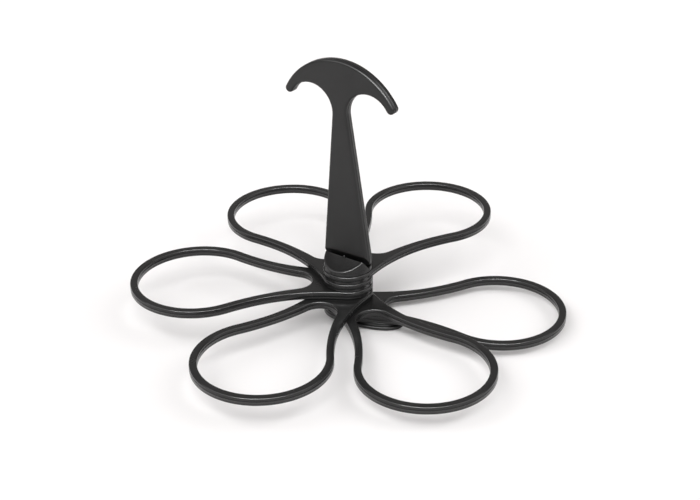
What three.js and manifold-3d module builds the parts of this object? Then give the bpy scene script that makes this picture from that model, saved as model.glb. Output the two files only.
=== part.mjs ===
// A folding mug carrier: six teardrop loops, stacked collar on collar round one post, under a flat
// tapering handle with an anchor-shaped grip. Millimetres, +Z up. The origin is on the post's axis,
// where the foot pad meets the table. The handle's width runs along X and its front faces -Y.
import * as THREE from 'three';
import { mergeVertices } from 'three/addons/utils/BufferGeometryUtils.js';
import Module from 'manifold-3d';

const wasm = await Module();
wasm.setup();

const point = (x, y) => new THREE.Vector2(x, y);

// ---- driving dimensions ----
const GAP = 0.3;                 // clearance between pieces that touch

const HUB_R = 16.6;              // collar of a loop, outside
const POST_R = 9.0;              // sleeve that the collars turn on
const BORE_R = POST_R + GAP;

const LOOP_H = 5.3;              // height of a loop's ring and collar
const LOOP_PITCH = 5.6;          // height from one collar to the next
const LOOP_EDGE = 0.9;           // chamfer along a loop's edges
const BAND_W = 5.0;              // width of the ring seen from above
const TIP_U = 101.4;             // centre of the round outer end, from the post's axis
const TIP_R = 42.5;              // radius of that end, at the middle of the band
const ARM_R = 165.0;             // the arms' hollow curve, at the middle of the band
const ARM_JOIN = THREE.MathUtils.degToRad(33.9); // where the round end turns into an arm
const FLARE_R = 110.0;           // hollow curve from an arm to the collar
const HOLE_END_R = 11.9;         // round inner end of the mug opening
// Where each loop is turned to, in degrees from +X, from the lowest to the highest.
// They are set by hand, so they are close to every 60 degrees and not exact.
const BASE_LOOP_TURN = 29.7;
const LOOP_TURNS = [334, 273.7, 212, 150.2, 91.3];

const FOOT_H = 4.55;             // floor to the top of the foot
const FOOT_U = 13.0;             // centre of the oval foot, from the post's axis
const FOOT_HALF = point(27.0, 12.8); // half its length and half its width
const FOOT_SQUARE = 2.25;        // 2 would make it an ellipse, more squares it off
const FOOT_TURN = 12;            // its long axis, in degrees from +X
const LIP_Z = [0.6, 2.8];        // the foot's wide lower plate
const LIP_EDGE = 0.5;
const NECK_INSET = 2.6;          // how far the foot's upper block stands back from the lip
const PAD_INSET = 1.9;
const PAD_H = 0.9;
const PAD_EDGE = 0.2;
const COUNTERBORE = { radius: 4.6, top: 3.4 }; // for the screw's head, from below

const CAP_R = 15.5;              // top cap, at the top of its cheeks
const CHEEK_RISE = 8.85;         // height of a cheek's ridge over the cap's underside
const CHEEK_FRONT_RISE = 3.0;    // and of its outer rim
const CAP_FLOOR = 2.6;           // thickness under the handle
const SLOT_FRONT = [0.8, -4.0];  // front wall of the handle's slot, at the floor and at the top
const SLOT_BACK = 4.9;
const DISH = new THREE.Vector3(11.4, 5.0, 1.3); // half sizes of the hollow in each cheek
const RECESS_R = 14.2;           // washer's recess, under the cap
const RECESS_H = 1.0;
const WASHER = { inner: 9.6, outer: 13.8, thickness: 0.4, swing: 0.18, waves: 3 };

const PLATE_T = 7.0;             // handle plate's thickness
const PLATE_Y = 1.0;             // its middle lies a little behind the post's axis
const PLATE_LIFT = 0.95;         // the lowest it stands over the cap's floor, before it leans
const LEAN = THREE.MathUtils.degToRad(-2.1); // the handle stands a little to the left in its slot
const CHISEL_Z = 49.0;           // its front face ends here and slopes back, down to its foot
const CHISEL_BACK = 4.3;         // how far back the slope takes it
const PLATE_EDGE = 0.9;
const HEIGHT = 183.0;
const GRIP_R = 48.2;             // top curve of the grip
const GRIP_TIP_R = 2.9;
const GRIP_SPREAD = THREE.MathUtils.degToRad(59.9); // from the top of the grip to each tip
const ARCH_Z = 147.7;            // centre of the finger arch under each arm of the grip
const NECK_HALF = 5.5;           // half the handle's width at its narrowest
const PLATE_HALF = 17.5;         // and at the top of the cap's cheeks
const BOSS_R = 6.5;              // round boss under the plate, inside the sleeve
const BOSS_FOOT = 7.0;           // its lower end
const SCREW_R = 2.0;
const SCREW_HEAD_R = 3.8;
const SCREW_SEAT = 2.7;          // upper face of its head, which bears on the washer
const SCREW_TIP = 32.0;
const SCREW_HOLE_TOP = 34.0;

// ---- heights worked out from them ----
const BASE_LOOP_Z = FOOT_H + GAP;
const CAP_Z = BASE_LOOP_Z + 6 * LOOP_PITCH;
const CHEEK_Z = CAP_Z + CHEEK_RISE;
const PLATE_Z = CAP_Z + CAP_FLOOR + PLATE_LIFT;
const RECESS_Z = CAP_Z + RECESS_H;
const POST_TOP = RECESS_Z - 0.2;
const BOSS_TOP = PLATE_Z + 0.9;  // it ends inside the plate
const BEYOND = 30;               // half length of a cutter that reaches past the whole cap

// ---- materials ----
const plastic = (name, hex, roughness) =>
  new THREE.MeshStandardMaterial({ name, color: hex, roughness, metalness: 0 });
const BLACK = 0x2b2b2d;
const steel = (name) =>
  new THREE.MeshStandardMaterial({ name, color: 0xb4b6b8, roughness: 0.35, metalness: 1 });

// ---- plane geometry ----
// Points along an arc about a centre, from one angle to another, both ends included.
function arc(centre, radius, from, to, steps) {
  const points = [];
  for (let i = 0; i <= steps; i += 1) {
    const a = from + ((to - from) * i) / steps;
    points.push(point(centre.x + radius * Math.cos(a), centre.y + radius * Math.sin(a)));
  }
  return points;
}

const angleFrom = (centre, p) => Math.atan2(p.y - centre.y, p.x - centre.x);

// The point at distance da from a and db from b, on the right of the line from a to b.
function meeting(a, da, b, db) {
  const d = a.distanceTo(b);
  const along = (da * da + d * d - db * db) / (2 * d);
  const across = Math.sqrt(da * da - along * along);
  const e = b.clone().sub(a).divideScalar(d);
  return point(a.x + e.x * along + e.y * across, a.y + e.y * along - e.x * across);
}

// Mirrors a half outline in the line x = 0 or y = 0, running back the other way.
const mirrored = (points, sx, sy) => points.map((p) => point(p.x * sx, p.y * sy)).reverse();

function uniqueLoop(points) {
  return points.filter((p, i) => p.distanceTo(points[(i + 1) % points.length]) > 1e-4);
}

function roundShape(radius, steps) {
  return arc(point(0, 0), radius, 0, 2 * Math.PI, steps).slice(0, -1);
}

// ---- solids ----
// A flat piece of the outline, chamfered, standing on z = bottom.
function extruded(outline, holes, bottom, height, edge) {
  const shape = new THREE.Shape(outline.map((p) => p.clone()));
  shape.holes = holes.map((h) => new THREE.Path(h.map((p) => p.clone())));
  const settings = { depth: height - 2 * edge, bevelEnabled: edge > 0, curveSegments: 1 };
  Object.assign(settings, { bevelThickness: edge, bevelSize: edge, bevelOffset: -edge, bevelSegments: 1 });
  const geometry = new THREE.ExtrudeGeometry(shape, settings);
  return geometry.translate(0, 0, bottom + edge);
}

// The outline lies in the XZ plane and is given a thickness along Y, from y0 to y1.
function uprightSlab(outline, y0, y1, edge) {
  return extruded(outline, [], -y1, y1 - y0, edge).rotateX(Math.PI / 2);
}

// The outline lies in the YZ plane and runs along X, from -half to half.
function crosswiseBar(outline, half) {
  const geometry = extruded(outline, [], -half, 2 * half, 0);
  return geometry.rotateZ(Math.PI / 2).rotateY(Math.PI / 2);
}

function turned(profile, segments) {
  return new THREE.LatheGeometry(profile, segments).rotateX(Math.PI / 2);
}

function cylinder(radius, z0, z1, segments) {
  return turned([point(0, z0), point(radius, z0), point(radius, z1), point(0, z1)], segments);
}

function solid(geometry) {
  const bare = geometry.clone();
  bare.deleteAttribute('normal');
  bare.deleteAttribute('uv');
  const merged = mergeVertices(bare, 1e-5);
  const vertProperties = new Float32Array(merged.attributes.position.array);
  const triVerts = new Uint32Array(merged.index.array);
  return new wasm.Manifold(new wasm.Mesh({ numProp: 3, vertProperties, triVerts }));
}

function surface(manifold) {
  const mesh = manifold.getMesh();
  const geometry = new THREE.BufferGeometry();
  geometry.setAttribute('position', new THREE.BufferAttribute(mesh.vertProperties, 3));
  geometry.setIndex(new THREE.BufferAttribute(mesh.triVerts, 1));
  geometry.computeVertexNormals();
  return geometry;
}

// The body with the added pieces joined on, and the removed pieces then cut away.
function cut(body, added, removed) {
  let result = solid(body);
  for (const piece of added) result = result.add(solid(piece));
  for (const piece of removed) result = result.subtract(solid(piece));
  return surface(result);
}

// ---- the loops ----
const ARM_CENTRE = point(
  TIP_U - (TIP_R + ARM_R) * Math.sin(ARM_JOIN),
  (TIP_R + ARM_R) * Math.cos(ARM_JOIN),
);
const TIP_CENTRE = point(TIP_U, 0);
const ORIGIN = point(0, 0);

// One side of the band, offset outwards from its middle, from the round end to the arm.
function bandSide(offset, armEnd, tipSteps, armSteps) {
  const join = Math.PI / 2 + ARM_JOIN;
  const tip = arc(TIP_CENTRE, TIP_R + offset, 0, join, tipSteps);
  const radius = ARM_R - offset;
  const arm = arc(ARM_CENTRE, radius, join - Math.PI, armEnd, armSteps);
  return [...tip, ...arm.slice(1)];
}

function loopOutline() {
  const offset = BAND_W / 2;
  const flare = meeting(ORIGIN, HUB_R + FLARE_R, ARM_CENTRE, ARM_R - offset - FLARE_R);
  const armEnd = angleFrom(ARM_CENTRE, flare);
  const onCollar = angleFrom(ORIGIN, flare);
  const half = [
    ...bandSide(offset, armEnd, 10, 6),
    ...arc(flare, FLARE_R, armEnd, onCollar - Math.PI, 5).slice(1),
    ...arc(ORIGIN, HUB_R, onCollar, Math.PI, 8).slice(1),
  ];
  return uniqueLoop([...half, ...mirrored(half, 1, -1).slice(1)]);
}

function mugOpening() {
  const offset = -BAND_W / 2;
  const reach = ARM_R - offset + HOLE_END_R;
  const end = point(ARM_CENTRE.x + Math.sqrt(reach ** 2 - ARM_CENTRE.y ** 2), 0);
  const armEnd = angleFrom(ARM_CENTRE, end);
  const half = [
    ...bandSide(offset, armEnd, 9, 5),
    ...arc(end, HOLE_END_R, armEnd + Math.PI, Math.PI, 4).slice(1),
  ];
  return uniqueLoop([...half, ...mirrored(half, 1, -1).slice(1)]);
}

const LOOP = extruded(loopOutline(), [mugOpening(), roundShape(BORE_R, 20)], 0, LOOP_H, LOOP_EDGE);

// ---- the foot ----
function ovalOutline(inset) {
  const length = FOOT_HALF.x - inset;
  const width = FOOT_HALF.y - inset;
  const squared = (t) => Math.sign(t) * Math.abs(t) ** (2 / FOOT_SQUARE);
  const circle = roundShape(1, 40);
  return circle.map((p) => point(FOOT_U + squared(p.x) * length, squared(p.y) * width));
}

function footGeometry() {
  const lip = extruded(ovalOutline(0), [], LIP_Z[0], LIP_Z[1] - LIP_Z[0], LIP_EDGE);
  const inLip = LIP_Z[1] - LIP_EDGE;
  const block = extruded(ovalOutline(NECK_INSET), [], inLip, FOOT_H - inLip, 0);
  const pocket = extruded(ovalOutline(PAD_INSET - GAP), [], 0, PAD_H + GAP, 0);
  const counterbore = cylinder(COUNTERBORE.radius, 0, COUNTERBORE.top, 24);
  return cut(lip, [block], [pocket, counterbore, cylinder(SCREW_R + GAP, 0, FOOT_H + 1, 20)]);
}

const padGeometry = () => extruded(ovalOutline(PAD_INSET), [], 0, PAD_H, PAD_EDGE);

// ---- the post and its screw ----
function ring(inner, outer, z0, z1, segments) {
  const corners = [point(inner, z0), point(outer, z0), point(outer, z1), point(inner, z1)];
  return turned([...corners, corners[0].clone()], segments);
}

function screwGeometry() {
  const profile = [
    point(0, 1.35), point(SCREW_HEAD_R - 0.5, 1.35), point(SCREW_HEAD_R, 1.8),
    point(SCREW_HEAD_R, SCREW_SEAT), point(SCREW_R, SCREW_SEAT),
    point(SCREW_R, SCREW_TIP - 0.6), point(SCREW_R - 0.6, SCREW_TIP), point(0, SCREW_TIP),
  ];
  return turned(profile, 20);
}

// A flat spring ring whose height swings as it goes round, so it presses on cap and collar.
function waveWasherGeometry() {
  const half = WASHER.thickness / 2;
  const geometry = ring(WASHER.inner, WASHER.outer, -half, half, 36);
  const position = geometry.attributes.position;
  for (let i = 0; i < position.count; i += 1) {
    const wave = Math.cos(WASHER.waves * Math.atan2(position.getY(i), position.getX(i)));
    position.setZ(i, position.getZ(i) + CAP_Z + 0.4 + WASHER.swing * wave);
  }
  return geometry;
}

// ---- the top cap ----
const CHEEK_SLOPE = Math.atan((CHEEK_RISE - CHEEK_FRONT_RISE) / (CAP_R + SLOT_FRONT[1]));

// Everything above one cheek's slope, from its ridge outwards. side is -1 for the front.
function aboveCheek(side, ridge) {
  const low = CHEEK_Z - (BEYOND - ridge) * Math.tan(CHEEK_SLOPE);
  const high = CHEEK_Z + BEYOND;
  const wedge = [
    point(side * ridge, CHEEK_Z), point(side * BEYOND, low),
    point(side * BEYOND, high), point(side * ridge, high),
  ];
  return crosswiseBar(side < 0 ? wedge.reverse() : wedge, BEYOND);
}

// A shallow dish sunk into one cheek's slope.
function cheekDish(side, ridge) {
  const out = (ridge + CAP_R) / 2;
  const dish = new THREE.SphereGeometry(1, 24, 12).scale(DISH.x, DISH.y, DISH.z);
  dish.rotateX(-side * CHEEK_SLOPE);
  return dish.translate(0, side * out, CHEEK_Z - (out - ridge) * Math.tan(CHEEK_SLOPE));
}

function capGeometry() {
  const profile = [
    point(0, CAP_Z), point(HUB_R - 0.6, CAP_Z), point(HUB_R - 0.1, CAP_Z + 0.5),
    point(HUB_R - 0.35, CAP_Z + 2.4), point(CAP_R + 0.2, CAP_Z + 5), point(CAP_R, CHEEK_Z + 1),
    point(0, CHEEK_Z + 1),
  ];
  const floor = CAP_Z + CAP_FLOOR;
  const slot = [
    point(SLOT_FRONT[0], floor), point(SLOT_BACK, floor),
    point(SLOT_BACK, CHEEK_Z + BEYOND), point(SLOT_FRONT[1], CHEEK_Z + BEYOND),
    point(SLOT_FRONT[1], CHEEK_Z),
  ];
  const front = -SLOT_FRONT[1];
  return cut(turned(profile, 40), [], [
    aboveCheek(-1, front),
    aboveCheek(1, SLOT_BACK),
    cheekDish(-1, front),
    cheekDish(1, SLOT_BACK),
    crosswiseBar(slot, BEYOND),
    cylinder(BOSS_R + GAP, CAP_Z - 1, BOSS_TOP + GAP, 28),
    cylinder(RECESS_R, CAP_Z - 1, RECESS_Z, 32),
  ]);
}

// ---- the handle ----
// Half the outline in x and z: grip, round tip, finger arch, and the taper down to the cap.
function handleOutline() {
  const gripCentre = point(0, HEIGHT - GRIP_R);
  const tipOut = Math.PI / 2 - GRIP_SPREAD;
  const tip = arc(gripCentre, GRIP_R - GRIP_TIP_R, tipOut, tipOut, 1)[0];
  // The arch touches the neck's side and the tip's round.
  const wide = tip.x - NECK_HALF;
  const archR = (wide ** 2 + (tip.y - ARCH_Z) ** 2 - GRIP_TIP_R ** 2) / (2 * (wide + GRIP_TIP_R));
  const archCentre = point(NECK_HALF + archR, ARCH_Z);
  const tipIn = angleFrom(archCentre, tip);
  const base = point(PLATE_HALF, CHEEK_Z);
  const taper = angleFrom(archCentre, base) - Math.acos(archR / archCentre.distanceTo(base));
  const half = [
    ...arc(gripCentre, GRIP_R, Math.PI / 2, tipOut, 10),
    ...arc(tip, GRIP_TIP_R, tipOut, tipIn - Math.PI, 5).slice(1),
    ...arc(archCentre, archR, tipIn, taper + 2 * Math.PI, 11).slice(1),
    base,
    point(PLATE_HALF - 0.2, PLATE_Z),
  ];
  return uniqueLoop([...half, ...mirrored(half, -1, 1)]).reverse();
}

function handleGeometry() {
  const front = PLATE_Y - PLATE_T / 2;
  const plate = uprightSlab(handleOutline(), front, front + PLATE_T, PLATE_EDGE);
  const slope = CHISEL_BACK / (CHISEL_Z - PLATE_Z);
  const chisel = crosswiseBar([
    point(front - slope, CHISEL_Z + 1), point(front - BEYOND, CHISEL_Z + 1),
    point(front - BEYOND, PLATE_Z - 1), point(front + CHISEL_BACK + slope, PLATE_Z - 1),
  ], BEYOND);
  const leaning = cut(plate, [], [chisel]);
  leaning.translate(0, 0, -PLATE_Z).rotateY(LEAN).translate(0, 0, PLATE_Z);
  const boss = cylinder(BOSS_R, BOSS_FOOT, BOSS_TOP, 28);
  return cut(leaning, [boss], [cylinder(SCREW_R + 0.15, BOSS_FOOT - 1, SCREW_HOLE_TOP, 20)]);
}

// ---- the assembly ----
const carrier = new THREE.Group();

function place(name, geometry, material) {
  const mesh = new THREE.Mesh(geometry, material);
  mesh.name = name;
  carrier.add(mesh);
  return mesh;
}

function placeLoop(name, level, turn) {
  const mesh = place(name, LOOP, plastic(name, BLACK, 0.42));
  mesh.position.z = BASE_LOOP_Z + level * LOOP_PITCH;
  mesh.rotation.z = THREE.MathUtils.degToRad(turn);
}

placeLoop('base_loop', 0, BASE_LOOP_TURN);
LOOP_TURNS.forEach((turn, i) => placeLoop(`loop_${i + 1}`, i + 1, turn));

place('handle', handleGeometry(), plastic('handle', BLACK, 0.45));
place('top_cap', capGeometry(), plastic('top_cap', BLACK, 0.4));
const sleeve = ring(BOSS_R + GAP, POST_R, FOOT_H + 0.15, POST_TOP, 32);
place('post_sleeve', sleeve, plastic('post_sleeve', BLACK, 0.5));
place('wave_washer', waveWasherGeometry(), steel('wave_washer'));
place('clamp_screw', screwGeometry(), steel('clamp_screw'));
const flatWasher = ring(SCREW_R + 0.25, COUNTERBORE.radius - GAP, 2.85, COUNTERBORE.top - 0.15, 24);
place('screw_washer', flatWasher, steel('screw_washer'));

const footTurn = THREE.MathUtils.degToRad(FOOT_TURN);
place('foot', footGeometry(), plastic('foot', BLACK, 0.5)).rotation.z = footTurn;
place('foot_pad', padGeometry(), plastic('foot_pad', 0x1c1c1c, 0.9)).rotation.z = footTurn;

export default carrier;
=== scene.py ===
"""The looks of a folding mug carrier: its mouldings, materials, floor, light and camera.

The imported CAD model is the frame. Outlines are drawn in millimetres, as the CAD source draws
them, and are scaled to metres where a mesh is made. Names that end in _M are metres already.
"""

import math

import bpy
import numpy as np
from mathutils import Matrix, Vector
from mathutils.geometry import tessellate_polygon


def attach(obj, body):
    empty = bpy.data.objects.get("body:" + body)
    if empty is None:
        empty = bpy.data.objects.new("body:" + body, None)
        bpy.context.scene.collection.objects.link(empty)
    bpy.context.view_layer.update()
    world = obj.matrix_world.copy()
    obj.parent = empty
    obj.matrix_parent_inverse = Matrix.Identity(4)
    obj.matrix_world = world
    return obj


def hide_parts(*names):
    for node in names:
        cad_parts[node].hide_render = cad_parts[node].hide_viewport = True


MM = 0.001

# ---- driving dimensions, in millimetres ----
GAP = 0.3            # between pieces that touch

# The loops: collar, two arms that curve outwards, and a round end.
HUB_R = 16.6
BORE_R = 9.3
LOOP_H = 5.3
LOOP_PITCH = LOOP_H + GAP
LOOP_EDGE = 0.9
LOOP_UNDER = 0.4     # the loops' lower edges are sharper
BORE_EDGE = 0.4
BAND_W = 5.0
TIP_U = 101.4        # from the post's axis to the middle of the round end
TIP_R = 42.5
ARM_R = 165.0
ARM_JOIN = math.radians(33.9)
FLARE_R = 110.0
HOLE_END_R = 11.9
BASE_LOOP_TURN = 29.7
LOOP_TURNS = (334, 273.7, 212, 150.2, 91.3)

# The oval foot, its pad, and the holes for the screw.
FOOT_H = 4.55
FOOT_U = 13.0        # from the post's axis to the middle of the oval
FOOT_HALF = (27.0, 12.8)
FOOT_SQUARE = 2.25   # 2 would make it an ellipse, more squares it off
FOOT_TURN = 12
LIP_Z = (0.6, 2.8)
LIP_EDGE = 0.6
BLOCK_Z = 1.0        # the block on the lip starts here, inside the lip
NECK_INSET = 2.6     # how far the block on the lip stands back from the lip's edge
NECK_EDGE = 0.15
PAD_INSET = 1.9
PAD_H = 0.9
PAD_EDGE = 0.2
PAD_BORDER = 2.2     # the pad's plain border, round its grooves
GROOVE_PITCH = 2.4
GROOVE_DEPTH = 0.25
GROOVE_FADE = 0.5    # nothing of the grooves is left this high up
COUNTERBORE_R = 4.6
COUNTERBORE_Z = 3.4
SCREW_HOLE_R = 2.3

# The top cap, with a slot for the handle between two sloping cheeks.
BASE_LOOP_Z = FOOT_H + GAP
CAP_Z = BASE_LOOP_Z + (1 + len(LOOP_TURNS)) * LOOP_PITCH
CHEEK_Z = CAP_Z + 8.85
CHEEK_DROP = 5.85    # from the ridge of a cheek down to the cap's rim
CAP_R = 15.5
CAP_FOOT_R = HUB_R - 0.1
CAP_FLARE = 1.4      # 1 would make the cap's wall a cone, more curves it out at its foot
CAP_EDGE = 0.5
CHEEK_EDGE = 0.45
CAP_FLOOR_Z = CAP_Z + 2.6
SLOT_FRONT = (0.8, -4.0)  # Y of the slot's front wall, at its floor and at the ridge
SLOT_BACK = 4.9
SLOT_EDGE = 0.35
SLOT_CORNER = 0.2
CHEEK_SLOPE = math.atan(CHEEK_DROP / (CAP_R + SLOT_FRONT[1]))
DISH_DEPTH = 0.7
DISH_RIM = 0.8
DISH_WALL = 5.0
NIB_R = 0.75         # gate mark left on the front ridge
NIB_FILLET = 0.2
RECESS_R = 14.2      # room for the wave washer
RECESS_H = 1.0
BOSS_R = 6.5

# The handle: a plate with a curved grip on top and a chiselled foot.
HEIGHT = 183.0
GRIP_R = 48.2
GRIP_TIP_R = 2.9
GRIP_SPREAD = math.radians(59.9)
ARCH_Z = 147.7
NECK_HALF = 5.5
PLATE_HALF = 17.5
PLATE_Z = CAP_FLOOR_Z + 0.95
PLATE_Y = 1.0
PLATE_T = 7.0
PLATE_EDGE = 1.5
PLATE_CORNER_R = 2.75
PLATE_STEP = 0.2     # the plate's foot is this much narrower on each side
LEAN = math.radians(-2.1)
CHISEL_Z = 49.0
CHISEL_BACK = 4.3
CHISEL_SOFT = 0.8    # half the height over which the front face turns into the slope
CHISEL_SLOPE = CHISEL_BACK / (CHISEL_Z - PLATE_Z)
BOSS_TOP = PLATE_Z + 0.9

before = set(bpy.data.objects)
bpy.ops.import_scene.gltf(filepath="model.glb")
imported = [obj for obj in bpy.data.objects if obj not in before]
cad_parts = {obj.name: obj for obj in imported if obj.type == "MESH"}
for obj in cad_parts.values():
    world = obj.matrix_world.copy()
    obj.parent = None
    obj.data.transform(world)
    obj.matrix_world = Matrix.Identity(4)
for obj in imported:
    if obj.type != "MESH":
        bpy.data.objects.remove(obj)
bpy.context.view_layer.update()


# ---- plane geometry ----
def point(x, y):
    return Vector((x, y))


ORIGIN = point(0, 0)


def on_circle(centre, radius, angle):
    return centre + radius * point(math.cos(angle), math.sin(angle))


def arc(centre, radius, start, end, steps):
    """Points along an arc, both ends included."""
    return [on_circle(centre, radius, start + (end - start) * i / steps) for i in range(steps + 1)]


def angle_from(centre, p):
    return math.atan2(p.y - centre.y, p.x - centre.x)


def meeting(a, da, b, db):
    """The point at distance da from a and db from b, on the right of the line from a to b."""
    apart = b - a
    d = apart.length
    along = (da * da + d * d - db * db) / (2 * d)
    across = math.sqrt(da * da - along * along)
    e = apart / d
    return a + e * along + point(e.y, -e.x) * across


def closed(half, sx, sy):
    """A half outline and its mirror image as one closed loop, with no point twice."""
    whole = half + [point(p.x * sx, p.y * sy) for p in reversed(half)]
    return [p for i, p in enumerate(whole) if (p - whole[(i + 1) % len(whole)]).length > 1e-4]


def outward_normals(outline):
    """The direction away from the material at each point, which is right of the way it runs."""
    result = []
    for i in range(len(outline)):
        along = outline[(i + 1) % len(outline)] - outline[i - 1]
        result.append(point(along.y, -along.x).normalized())
    return result


# ---- meshes of rounded slabs ----
EDGE_STEPS = 6
CROWN = 0.05         # the flats stand this much higher away from their edges
CROWN_W = 1.2        # a slab's edge radius plus this is less than its outline's radii
SEAM = 0.02          # height of the mould's parting line round a loop's walls
SEAM_HALF = 0.16     # half the height of wall that it takes up
WELD = 0.001         # points nearer than this are taken to be one


def upper_rows(height, radius):
    """Rows from the flat down to the middle of a wall, the top edge rounded to the radius.

    Each is an inset, a height, and the sideways and upward parts of the normal.
    """
    tilt = 2 * CROWN / CROWN_W
    rows = []
    for t in (1.0, 0.5):
        lift = CROWN * t * (2 - t)
        rows.append((radius + CROWN_W * t, height / 2 - CROWN + lift, tilt * (1 - t), 1.0))
    for i in range(EDGE_STEPS + 1):
        a = (math.pi / 2 - tilt) * (1 - i / EDGE_STEPS)
        drop = radius * (1 - math.sin(a))
        rows.append((radius * (1 - math.cos(a)), height / 2 - CROWN - drop, math.cos(a), math.sin(a)))
    return rows + [(0.0, SEAM_HALF, 1.0, 0.5)]


def section(height, over, under, seam):
    """Rows down a whole wall, its edges rounded to the radius over above and under below."""
    below = [(inset, -z, side, -up) for inset, z, side, up in reversed(upper_rows(height, under))]
    return upper_rows(height, over) + [(-seam, 0.0, 1.0, 0.0)] + below


def filled(points, rings, upward):
    """Triangles that fill the space between closed rings of point numbers."""
    index = [i for ring in rings for i in ring]
    loops = [[Vector(points[i]) for i in ring] for ring in rings]
    faces = []
    for triangle in tessellate_polygon(loops):
        a, b, c = (index[k] for k in triangle)
        p, q, r = points[a], points[b], points[c]
        turn = (q[0] - p[0]) * (r[1] - p[1]) - (q[1] - p[1]) * (r[0] - p[0])
        faces.append((a, b, c) if (turn > 0) == upward else (a, c, b))
    return faces


def slab(contours, height, seam):
    """A slab with rounded edges, its middle at z = 0, as points, normals and faces.

    contours holds (outline, radius of the upper edge, radius of the lower edge). The outside
    runs anticlockwise, holes clockwise.
    """
    points, normals, faces, tops, bottoms = [], [], [], [], []
    for outline, over, under in contours:
        rows = section(height, over, under, seam)
        away = outward_normals(outline)
        count, start = len(outline), len(points)
        for inset, z, side, up in rows:
            for p, n in zip(outline, away):
                points.append((p.x - n.x * inset, p.y - n.y * inset, z))
                normals.append(Vector((n.x * side, n.y * side, up)).normalized())
        for row in range(len(rows) - 1):
            a = start + row * count
            for i in range(count):
                j = (i + 1) % count
                faces.append((a + i, a + count + i, a + count + j, a + j))
        tops.append(range(start, start + count))
        bottoms.append(range(len(points) - count, len(points)))
    faces += filled(points, tops, True) + filled(points, bottoms, False)
    return points, normals, faces


def welded(part):
    """The part with points that coincide made one, and without the faces that this closes up."""
    points, normals, faces = part
    number, firsts, places = [], [], {}
    for i, p in enumerate(points):
        place = tuple(round(c / WELD) for c in p)
        if place not in places:
            places[place] = len(firsts)
            firsts.append(i)
        number.append(places[place])
    kept = []
    for face in faces:
        corners = [number[i] for i in face]
        corners = tuple(c for i, c in enumerate(corners) if c != corners[i - 1])
        if len(set(corners)) > 2:
            kept.append(corners)
    return [points[i] for i in firsts], [normals[i] for i in firsts], kept


def mesh_piece(name, part, matrix=Matrix.Identity(4)):
    """An object of the part's mesh, moved by the matrix and scaled from millimetres."""
    points, normals, faces = part
    mesh = bpy.data.meshes.new(name)
    mesh.from_pydata([matrix @ Vector(p) * MM for p in points], [], faces)
    mesh.polygons.foreach_set("use_smooth", [True] * len(mesh.polygons))
    turn = matrix.to_3x3()
    mesh.normals_split_custom_set_from_vertices([turn @ Vector(n) for n in normals])
    piece = bpy.data.objects.new(name, mesh)
    bpy.context.scene.collection.objects.link(piece)
    return piece


# ---- meshes of solids given by a field ----
# A field gives, for an array of points in millimetres, how far each is outside the solid.
def both(a, b, radius):
    """What lies in a and in b, with the edge between them rounded."""
    corner = np.hypot(np.maximum(a + radius, 0), np.maximum(b + radius, 0))
    return np.minimum(-radius, np.maximum(a, b)) + corner


def either(a, b, radius):
    """What lies in a or b, with a fillet where they meet."""
    return -both(-a, -b, radius)


def without(a, b, radius):
    """What lies in a and outside b, with the edge between them rounded."""
    return both(a, -b, radius)


def gradient(field, points):
    """Which way the field rises at each point."""
    reach = 0.01
    steps = reach * np.eye(3)
    return np.stack([field(points + s) - field(points - s) for s in steps], -1) / (2 * reach)


SETTLING_STEPS = 10
MARGIN = 0.5         # empty space that a grid takes in round and above a solid
MARGIN_BELOW = 0.4


def net(field, low, high, step):
    """The surface of a field's solid as points, normals and faces, its points exactly on it.

    Each cell that the surface crosses gets a point, and each grid edge that it crosses a face
    between the four cells round it.
    """
    low = np.array(low, float)
    cells = np.ceil((np.array(high) - low) / step).astype(int)
    axes = [low[k] + step * np.arange(cells[k] + 1) for k in range(3)]
    inside = field(np.stack(np.meshgrid(*axes, indexing="ij"), -1)) < 0
    corners = np.zeros(cells, int)
    for i, j, k in np.ndindex(2, 2, 2):
        corners += inside[i:cells[0] + i, j:cells[1] + j, k:cells[2] + k]
    crossed = (corners > 0) & (corners < 8)
    number = np.full(crossed.shape, -1)
    number[crossed] = np.arange(crossed.sum())
    points = low + (np.argwhere(crossed) + 0.5) * step
    for _ in range(SETTLING_STEPS):
        slope = gradient(field, points)
        share = field(points) / np.maximum((slope ** 2).sum(1), 0.1)
        points -= np.clip(share[:, None] * slope, -step / 2, step / 2)
    normals = gradient(field, points)
    normals /= np.linalg.norm(normals, axis=1)[:, None]
    faces = []
    for axis in range(3):
        u, v = (axis + 1) % 3, (axis + 2) % 3
        one_u, one_v = np.eye(3, dtype=int)[u], np.eye(3, dtype=int)[v]
        near = np.take(inside, range(cells[axis]), axis)
        far = np.take(inside, range(1, cells[axis] + 1), axis)
        for leaving in (True, False):
            edges = np.argwhere((near != far) & (near == leaving))
            corner_cells = [edges, edges - one_u, edges - one_u - one_v, edges - one_v]
            quads = np.stack([number[tuple(c.T)] for c in corner_cells], 1)
            faces += (quads if leaving else quads[:, ::-1]).tolist()
    return welded((points.tolist(), normals.tolist(), faces))


# ---- the loops ----
TIP_CENTRE = point(TIP_U, 0)
ARM_CENTRE = point(
    TIP_U - (TIP_R + ARM_R) * math.sin(ARM_JOIN),
    (TIP_R + ARM_R) * math.cos(ARM_JOIN),
)


def band_side(offset, arm_end, tip_steps, arm_steps):
    """One side of the band, offset outwards from its middle, from the round end to the arm."""
    join = math.pi / 2 + ARM_JOIN
    tip = arc(TIP_CENTRE, TIP_R + offset, 0, join, tip_steps)
    arm = arc(ARM_CENTRE, ARM_R - offset, join - math.pi, arm_end, arm_steps)
    return tip + arm[1:]


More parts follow.
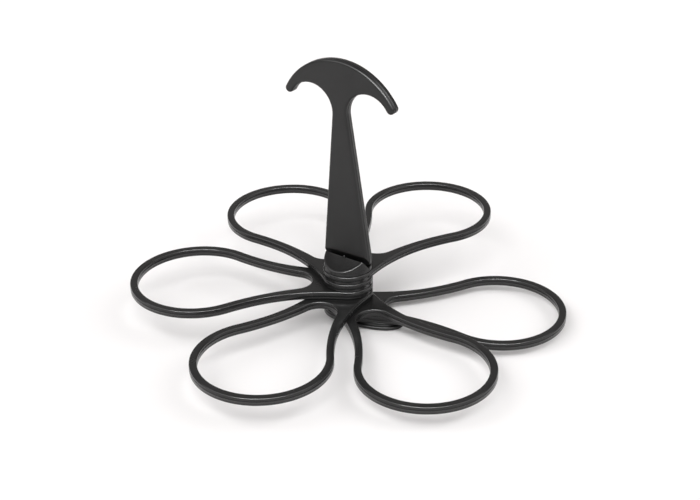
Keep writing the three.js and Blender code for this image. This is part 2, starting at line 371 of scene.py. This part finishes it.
def loop_outline():
    offset = BAND_W / 2
    flare = meeting(ORIGIN, HUB_R + FLARE_R, ARM_CENTRE, ARM_R - offset - FLARE_R)
    arm_end = angle_from(ARM_CENTRE, flare)
    on_collar = angle_from(ORIGIN, flare)
    half = band_side(offset, arm_end, tip_steps=44, arm_steps=26)
    half += arc(flare, FLARE_R, arm_end, on_collar - math.pi, steps=20)[1:]
    half += arc(ORIGIN, HUB_R, on_collar, math.pi, steps=36)[1:]
    return closed(half, 1, -1)


def mug_opening():
    offset = -BAND_W / 2
    reach = ARM_R - offset + HOLE_END_R
    end = point(ARM_CENTRE.x + math.sqrt(reach ** 2 - ARM_CENTRE.y ** 2), 0)
    arm_end = angle_from(ARM_CENTRE, end)
    half = band_side(offset, arm_end, tip_steps=40, arm_steps=22)
    half += arc(end, HOLE_END_R, arm_end + math.pi, math.pi, steps=16)[1:]
    return closed(half, 1, -1)


def loop_part():
    bore = arc(ORIGIN, BORE_R, 2 * math.pi, 0, steps=72)[:-1]
    walls = (loop_outline(), mug_opening()[::-1])
    contours = [(wall, LOOP_EDGE, LOOP_UNDER) for wall in walls]
    return slab(contours + [(bore, BORE_EDGE, BORE_EDGE)], LOOP_H, SEAM)


# ---- the handle ----
TAPER_STEPS = 12
CHISEL_ROWS = 8


def handle_outline():
    """Grip, round tip, finger arch, and the taper down to the cap."""
    grip_centre = point(0, HEIGHT - GRIP_R)
    tip_out = math.pi / 2 - GRIP_SPREAD
    tip = on_circle(grip_centre, GRIP_R - GRIP_TIP_R, tip_out)
    wide = tip.x - NECK_HALF
    arch_r = (wide ** 2 + (tip.y - ARCH_Z) ** 2 - GRIP_TIP_R ** 2) / (2 * (wide + GRIP_TIP_R))
    arch_centre = point(NECK_HALF + arch_r, ARCH_Z)
    tip_in = angle_from(arch_centre, tip)
    base = point(PLATE_HALF, CHEEK_Z)
    taper = angle_from(arch_centre, base) - math.acos(arch_r / (base - arch_centre).length)
    corner = point(PLATE_HALF - PLATE_STEP - PLATE_CORNER_R, PLATE_Z + PLATE_CORNER_R)
    half = arc(grip_centre, GRIP_R, math.pi / 2, tip_out, steps=40)
    half += arc(tip, GRIP_TIP_R, tip_out, tip_in - math.pi, steps=14)[1:]
    half += arc(arch_centre, arch_r, tip_in, taper + 2 * math.pi, steps=44)[1:]
    arch_end = half[-1]
    half += [arch_end.lerp(base, (step + 1) / TAPER_STEPS) for step in range(TAPER_STEPS)]
    half += arc(corner, PLATE_CORNER_R, 0, -math.pi / 2, steps=8)
    return closed(half, -1, 1)[::-1]


def split_at(part, height):
    """The part with its faces divided along the plane y = height."""
    points, normals, faces = list(part[0]), list(part[1]), []
    crossings = {}

    def crossing(i, j):
        key = (min(i, j), max(i, j))
        if key not in crossings:
            t = (height - points[i][1]) / (points[j][1] - points[i][1])
            crossings[key] = len(points)
            points.append(tuple(Vector(points[i]).lerp(Vector(points[j]), t)))
            normals.append(normals[i].lerp(normals[j], t).normalized())
        return crossings[key]

    for face in part[2]:
        above, below = [], []
        for i, j in zip(face, face[1:] + face[:1]):
            (above if points[i][1] >= height else below).append(i)
            if (points[i][1] >= height) != (points[j][1] >= height):
                k = crossing(i, j)
                above.append(k)
                below.append(k)
        faces += [tuple(side) for side in (above, below) if len(set(side)) > 2]
    return points, normals, faces


def chiselled(part):
    """The plate with its lower front end sloping back. Its front is at the greatest z."""
    for row in range(CHISEL_ROWS + 1):
        part = split_at(part, CHISEL_Z + CHISEL_SOFT * (2 * row / CHISEL_ROWS - 1))
    points, normals, faces = part
    for i, (x, y, z) in enumerate(points):
        down = CHISEL_Z + CHISEL_SOFT - y
        turned_share = min(max(down / (2 * CHISEL_SOFT), 0), 1)
        cut = CHISEL_SLOPE * (turned_share ** 2 * CHISEL_SOFT + max(down - 2 * CHISEL_SOFT, 0))
        if down > 0 and z > PLATE_T / 2 - cut:
            points[i] = (x, y, PLATE_T / 2 - cut)
            normals[i] = Vector((0, -CHISEL_SLOPE * turned_share, 1)).normalized()
    return welded((points, normals, faces))


def handle_part():
    return chiselled(slab([(handle_outline(), PLATE_EDGE, PLATE_EDGE)], PLATE_T, 0))


# ---- the top cap ----
HIDDEN_EDGE = 0.15   # edges of the holes and recesses inside the hub and under the foot
SHARP = 0.1
CAP_STEP = 0.24


def cap_field(p):
    x, y, z = p[..., 0], p[..., 1], p[..., 2]
    out = np.hypot(x, y)
    down = np.clip((CHEEK_Z - z) / (CHEEK_Z - CAP_Z), 0, 1)
    wall = out - CAP_R - (CAP_FOOT_R - CAP_R) * down ** CAP_FLARE
    solid = both(wall, CAP_Z - z, CAP_EDGE)
    share = np.clip((CAP_R - DISH_RIM - out) / DISH_WALL, 0, 1)
    dish = DISH_DEPTH * share * (2 - share)
    for side, ridge in ((-1, -SLOT_FRONT[1]), (1, SLOT_BACK)):
        above = (z - CHEEK_Z) * math.cos(CHEEK_SLOPE) + (side * y - ridge) * math.sin(CHEEK_SLOPE)
        solid = both(solid, above + dish, CHEEK_EDGE)
    lean = (SLOT_FRONT[0] - SLOT_FRONT[1]) / (CHEEK_Z - CAP_FLOOR_Z)
    front_wall = (SLOT_FRONT[0] - lean * (z - CAP_FLOOR_Z) - y) / math.hypot(1, lean)
    slot = both(both(front_wall, y - SLOT_BACK, SLOT_CORNER), CAP_FLOOR_Z - z, SLOT_CORNER)
    solid = without(solid, slot, SLOT_EDGE)
    nib = np.sqrt(x ** 2 + (y - SLOT_FRONT[1]) ** 2 + (z - CHEEK_Z) ** 2) - NIB_R
    solid = either(solid, nib, NIB_FILLET)
    boss_hole = both(out - BOSS_R - GAP, z - BOSS_TOP - GAP, SHARP)
    recess = both(out - RECESS_R, z - CAP_Z - RECESS_H, SHARP)
    return without(without(solid, boss_hole, HIDDEN_EDGE), recess, HIDDEN_EDGE)


def cap_part():
    reach = HUB_R + MARGIN
    bottom, top = CAP_Z - MARGIN_BELOW, CHEEK_Z + NIB_R + MARGIN
    return net(cap_field, (-reach, -reach, bottom), (reach, reach, top), CAP_STEP)


# ---- the foot and its pad ----
FOOT_STEP = 0.3
PAD_STEP = 0.4


def oval(x, y, inset):
    """About how far outside the foot's plan outline, x along its length."""
    length, width = FOOT_HALF[0] - inset, FOOT_HALF[1] - inset
    u, v = np.abs(x - FOOT_U) / length, np.abs(y) / width
    k = (u ** FOOT_SQUARE + v ** FOOT_SQUARE) ** (1 / FOOT_SQUARE)
    n = FOOT_SQUARE - 1
    slope = np.hypot(u ** n / length, v ** n / width) / np.maximum(k, 1e-6) ** n
    return (k - 1) / np.maximum(slope, 1e-6)


def foot_field(p):
    x, y, z = p[..., 0], p[..., 1], p[..., 2]
    lip = both(oval(x, y, 0), np.maximum(z - LIP_Z[1], LIP_Z[0] - z), LIP_EDGE)
    block = both(oval(x, y, NECK_INSET), np.maximum(z - FOOT_H, BLOCK_Z - z), NECK_EDGE)
    solid = either(lip, block, SHARP)
    pocket = both(oval(x, y, PAD_INSET - GAP), z - PAD_H - GAP, SHARP)
    out = np.hypot(x, y)
    counterbore = both(out - COUNTERBORE_R, z - COUNTERBORE_Z, SHARP)
    solid = without(without(solid, pocket, HIDDEN_EDGE), counterbore, HIDDEN_EDGE)
    return without(solid, out - SCREW_HOLE_R, HIDDEN_EDGE)


def pad_field(p):
    """A flat pad with round after round of shallow grooves in its underside."""
    x, y, z = p[..., 0], p[..., 1], p[..., 2]
    solid = both(oval(x, y, PAD_INSET), np.maximum(z - PAD_H, -z), PAD_EDGE)
    inner = oval(x, y, PAD_INSET + PAD_BORDER)
    wave = 0.5 - 0.5 * np.cos(2 * math.pi * inner / GROOVE_PITCH)
    fade = np.clip(1 - z / GROOVE_FADE, 0, 1)
    return solid + np.where(inner < 0, GROOVE_DEPTH * wave * fade, 0)


def foot_part(field, top, step):
    length, width = FOOT_HALF[0] + MARGIN, FOOT_HALF[1] + MARGIN
    low = (FOOT_U - length, -width, -MARGIN_BELOW)
    high = (FOOT_U + length, width, top + MARGIN)
    return net(field, low, high, step)


# ---- materials ----
def new_material(name):
    material = bpy.data.materials.new(name)
    material.use_nodes = True
    nodes = material.node_tree.nodes
    return material, nodes, material.node_tree.links, nodes["Principled BSDF"]


def noise(nodes, links, scale, detail, coords):
    node = nodes.new("ShaderNodeTexNoise")
    node.inputs["Scale"].default_value = scale
    node.inputs["Detail"].default_value = detail
    links.new(coords, node.inputs["Vector"])
    return node.outputs["Fac"]


def ranged(nodes, links, value, low, high):
    """A noise, most of which lies between 0.3 and 0.7, spread over another range."""
    node = nodes.new("ShaderNodeMapRange")
    node.inputs["To Min"].default_value = low
    node.inputs["To Max"].default_value = high
    node.inputs["From Min"].default_value = 0.3
    node.inputs["From Max"].default_value = 0.7
    links.new(value, node.inputs["Value"])
    return node.outputs["Result"]


PLASTIC_SPECULAR = 0.46
GRAIN_HEIGHT_M = 0.00006


def plastic(name, dark, light, rough, grain):
    """Moulded black plastic: flow clouds in tone and gloss, over a fine spark-eroded grain.

    dark and light are the greys of the clouds, and rough is a range of roughness.
    """
    material, nodes, links, shader = new_material(name)
    coords = nodes.new("ShaderNodeTexCoord").outputs["Object"]
    ramp = nodes.new("ShaderNodeValToRGB")
    for element, place, grey in zip(ramp.color_ramp.elements, (0.35, 0.68), (dark, light)):
        element.position = place
        element.color = (grey, grey, grey, 1)
    links.new(noise(nodes, links, 45, 4, coords), ramp.inputs["Fac"])
    links.new(ramp.outputs["Color"], shader.inputs["Base Color"])
    smudge = noise(nodes, links, 130, 5, coords)
    links.new(ranged(nodes, links, smudge, *rough), shader.inputs["Roughness"])
    shader.inputs["Specular IOR Level"].default_value = PLASTIC_SPECULAR
    bump = nodes.new("ShaderNodeBump")
    bump.inputs["Strength"].default_value = grain
    bump.inputs["Distance"].default_value = GRAIN_HEIGHT_M
    links.new(noise(nodes, links, 3200, 2, coords), bump.inputs["Height"])
    links.new(bump.outputs["Normal"], shader.inputs["Normal"])
    return material


def steel(name, rough):
    """Bright steel whose gloss varies a little."""
    material, nodes, links, shader = new_material(name)
    coords = nodes.new("ShaderNodeTexCoord").outputs["Object"]
    shader.inputs["Metallic"].default_value = 1.0
    shader.inputs["Base Color"].default_value = (0.46, 0.46, 0.45, 1)
    wear = noise(nodes, links, 900, 4, coords)
    links.new(ranged(nodes, links, wear, *rough), shader.inputs["Roughness"])
    return material


# ---- the pieces ----
def finish_piece(piece, body, node, material):
    piece.data.materials.append(material)
    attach(piece, body)
    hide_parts(node)


def turned_by(degrees, z=0.0):
    return Matrix.Translation((0, 0, z)) @ Matrix.Rotation(math.radians(degrees), 4, "Z")


handle_plastic = plastic("handle_plastic", 0.003, 0.006, (0.30, 0.40), 0.25)
cap_plastic = plastic("cap_plastic", 0.005, 0.008, (0.20, 0.28), 0.15)
loop_plastic = plastic("loop_plastic", 0.008, 0.012, (0.20, 0.28), 0.15)
foot_plastic = plastic("foot_plastic", 0.004, 0.008, (0.32, 0.42), 0.2)
sleeve_plastic = plastic("sleeve_plastic", 0.006, 0.009, (0.3, 0.4), 0.1)
pad_rubber = plastic("pad_rubber", 0.005, 0.008, (0.75, 0.9), 0.6)

loop_shape = loop_part()
for level, turn in enumerate((BASE_LOOP_TURN, *LOOP_TURNS)):
    node = f"loop_{level}" if level else "base_loop"
    body = f"loop_{level}" if level else "base"
    middle = BASE_LOOP_Z + level * LOOP_PITCH + LOOP_H / 2
    piece = mesh_piece(f"{node}_moulding", loop_shape, turned_by(turn, middle))
    finish_piece(piece, body, node, loop_plastic)

# The plate is drawn flat, so it is stood up, and it leans about the middle of its foot.
UPRIGHT = Matrix.Translation((0, PLATE_Y, PLATE_Z)) @ Matrix.Rotation(LEAN, 4, "Y")
UPRIGHT @= Matrix.Translation((0, 0, -PLATE_Z)) @ Matrix.Rotation(math.pi / 2, 4, "X")
handle = mesh_piece("handle_moulding", handle_part(), UPRIGHT)
finish_piece(handle, "base", "handle", handle_plastic)
cap = mesh_piece("top_cap_moulding", cap_part())
finish_piece(cap, "base", "top_cap", cap_plastic)
foot = mesh_piece("foot_moulding", foot_part(foot_field, FOOT_H, FOOT_STEP), turned_by(FOOT_TURN))
finish_piece(foot, "base", "foot", foot_plastic)
pad = mesh_piece("foot_pad_moulding", foot_part(pad_field, PAD_H, PAD_STEP), turned_by(FOOT_TURN))
finish_piece(pad, "base", "foot_pad", pad_rubber)

# Pieces inside the hub keep their CAD solids.
CARRIED = {
    "post_sleeve": ("sleeve_plastic", sleeve_plastic),
    "wave_washer": ("spring_steel", steel("spring_steel", (0.22, 0.32))),
    "clamp_screw": ("screw_steel", steel("screw_steel", (0.25, 0.38))),
    "screw_washer": ("screw_steel", steel("washer_steel", (0.30, 0.42))),
}
for node, (slot, material) in CARRIED.items():
    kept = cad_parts[node]
    if not kept.material_slots:
        kept.data.materials.append(None)
    for kept_slot in kept.material_slots:
        kept_slot.material = material


# ---- the floor, the camera and the light ----
FLOOR_HALF_M = 6.0
VIEW_AZIMUTH = math.radians(34.46)
VIEW_ELEVATION = math.radians(28.44)
VIEW_ROLL = math.radians(0.068)
VIEW_DISTANCE_M = 0.998
AIM_M = (0.02525, 0.03460)  # the camera stands this far right of and above its aim on the post
AIM_Z_M = 0.0108
LENS_MM = 76.04
SENSOR_MM = 36.0
SHIFT_X = -0.0513


def floor():
    material, _, _, shader = new_material("floor_white")
    shader.inputs["Base Color"].default_value = (0.83, 0.82, 0.82, 1)
    shader.inputs["Roughness"].default_value = 0.9
    shader.inputs["Specular IOR Level"].default_value = 0.1
    corners = [(sx * FLOOR_HALF_M, sy * FLOOR_HALF_M, 0) for sx, sy in ((-1, -1), (1, -1), (1, 1), (-1, 1))]
    mesh = bpy.data.meshes.new("floor")
    mesh.from_pydata(corners, [], [(0, 1, 2, 3)])
    mesh.materials.append(material)
    plane = bpy.data.objects.new("floor", mesh)
    bpy.context.scene.collection.objects.link(plane)


def camera():
    data = bpy.data.cameras.new("camera")
    data.lens = LENS_MM
    data.sensor_width = SENSOR_MM
    data.shift_x = SHIFT_X
    data.clip_end = 20
    view = bpy.data.objects.new("camera", data)
    turn = Matrix.Rotation(VIEW_AZIMUTH, 4, "Z")
    turn @= Matrix.Rotation(math.pi / 2 - VIEW_ELEVATION, 4, "X")
    turn @= Matrix.Rotation(-VIEW_ROLL, 4, "Z")
    stand = Matrix.Translation((0, 0, AIM_Z_M)) @ turn
    view.matrix_world = stand @ Matrix.Translation((*AIM_M, VIEW_DISTANCE_M))
    bpy.context.scene.collection.objects.link(view)
    bpy.context.scene.camera = view


def soft_light(name, azimuth, elevation, spread, strength):
    """A distant light, so that it lights the floor evenly. Azimuth 0 is the camera's side."""
    light = bpy.data.lights.new(name, "SUN")
    light.angle = math.radians(spread)
    light.energy = strength
    lamp = bpy.data.objects.new(name, light)
    a, e = math.radians(azimuth) + VIEW_AZIMUTH, math.radians(elevation)
    away = Vector((math.sin(a) * math.cos(e), -math.cos(a) * math.cos(e), math.sin(e)))
    lamp.rotation_euler = away.to_track_quat("Z", "Y").to_euler()
    bpy.context.scene.collection.objects.link(lamp)
    return lamp


def studio():
    """A dim pale room, three wide lights, and four strips that only draw lines of gloss."""
    world = bpy.data.worlds.new("studio")
    world.use_nodes = True
    background = world.node_tree.nodes["Background"]
    background.inputs["Color"].default_value = (1, 0.965, 0.95, 1)
    background.inputs["Strength"].default_value = 0.33
    bpy.context.scene.world = world
    bpy.context.scene.view_settings.view_transform = "Standard"
    soft_light("top_light", azimuth=-14, elevation=52, spread=44, strength=1.8)
    soft_light("left_light", azimuth=-82, elevation=44, spread=46, strength=1.15)
    soft_light("right_light", azimuth=82, elevation=44, spread=46, strength=1.15)
    for azimuth in (-36, -12, 12, 36):
        strip = soft_light(f"strip_{azimuth}", azimuth, elevation=46, spread=9, strength=1.6)
        strip.visible_diffuse = False


floor()
camera()
studio()
